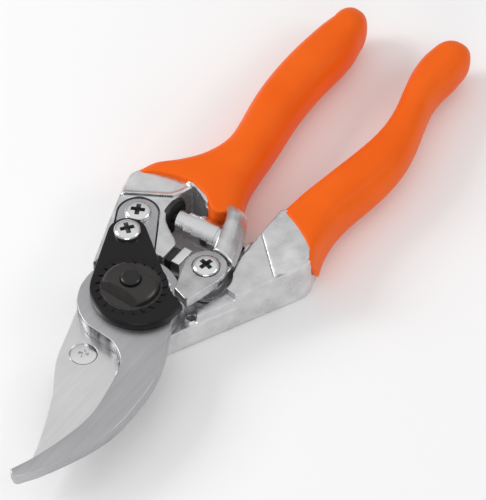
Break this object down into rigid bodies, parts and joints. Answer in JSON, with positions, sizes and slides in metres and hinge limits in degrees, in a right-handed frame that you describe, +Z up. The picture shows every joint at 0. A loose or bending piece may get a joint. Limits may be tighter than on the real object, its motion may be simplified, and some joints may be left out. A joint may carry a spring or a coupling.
{
  "type": "pruning shears",
  "caption": "Bypass pruning shears with cast handles, dipped grips, a hooked counter blade, an adjusting nut, a volute return spring and a catch lever.",
  "frame": {"origin": "on the axis of the centre bolt, at the underside of the bolt's flat head, which the closed shears lie on", "axes": "+Y from the centre bolt towards the grips, so the jaws point along -Y; +Z up, along the bolt towards the adjusting nut; +X to the lower handle's side"},
  "size_m": [0.0656, 0.2211, 0.0221],
  "materials": {
    "cast_alloy": "tumbled die cast aluminium",
    "grip_dip": "smooth satin orange vinyl dip",
    "blade_steel": "ground and lightly brushed tool steel",
    "hook_steel": "fine brushed steel, darker than the blade",
    "screw_steel": "bright zinc plate",
    "spring_steel": "rolled bright spring strip",
    "black_coat": "semi-gloss black coat",
    "black_bolt": "black oxide",
    "bronze": "oiled bearing bronze",
    "buffer_rubber": "matte black rubber"
  },
  "bodies": {
    "hook_side": {"hook_handle": "cast_alloy", "hook_grip": "grip_dip", "hook_blade": "hook_steel", "hook_screw": "screw_steel", "lock_plate": "black_coat", "lock_plate_screw": "screw_steel", "adjusting_nut": "black_coat", "lock_washer": "screw_steel", "pivot_bolt": "black_bolt", "spring_seat": "black_coat", "stop_bar": "screw_steel", "stop_buffer": "buffer_rubber", "catch_screw": "screw_steel", "catch_washer": "screw_steel", "return_spring": "spring_steel"},
    "blade_side": {"blade_handle": "cast_alloy", "blade_grip": "grip_dip", "cutting_blade": "blade_steel", "blade_screw": "screw_steel", "pivot_bushing": "bronze", "catch_stud": "screw_steel", "spring_peg": "screw_steel"},
    "catch": {"catch_lever": "cast_alloy"}
  },
  "joints": [
    {"name": "blade_pivot", "type": "hinge", "parent": "hook_side", "child": "blade_side", "pos_m": [0, 0, 0.01], "axis": [0, 0, -1], "range_deg": [0, 30], "stiffness_Nm_per_rad": 0.15, "springref_deg": 40.11, "deforming": ["return_spring"]},
    {"name": "catch_pivot", "type": "hinge", "parent": "hook_side", "child": "catch", "pos_m": [0.014, 0.0186, 0.016], "axis": [0, 0, 1], "range_deg": [0, 20]}
  ]
}
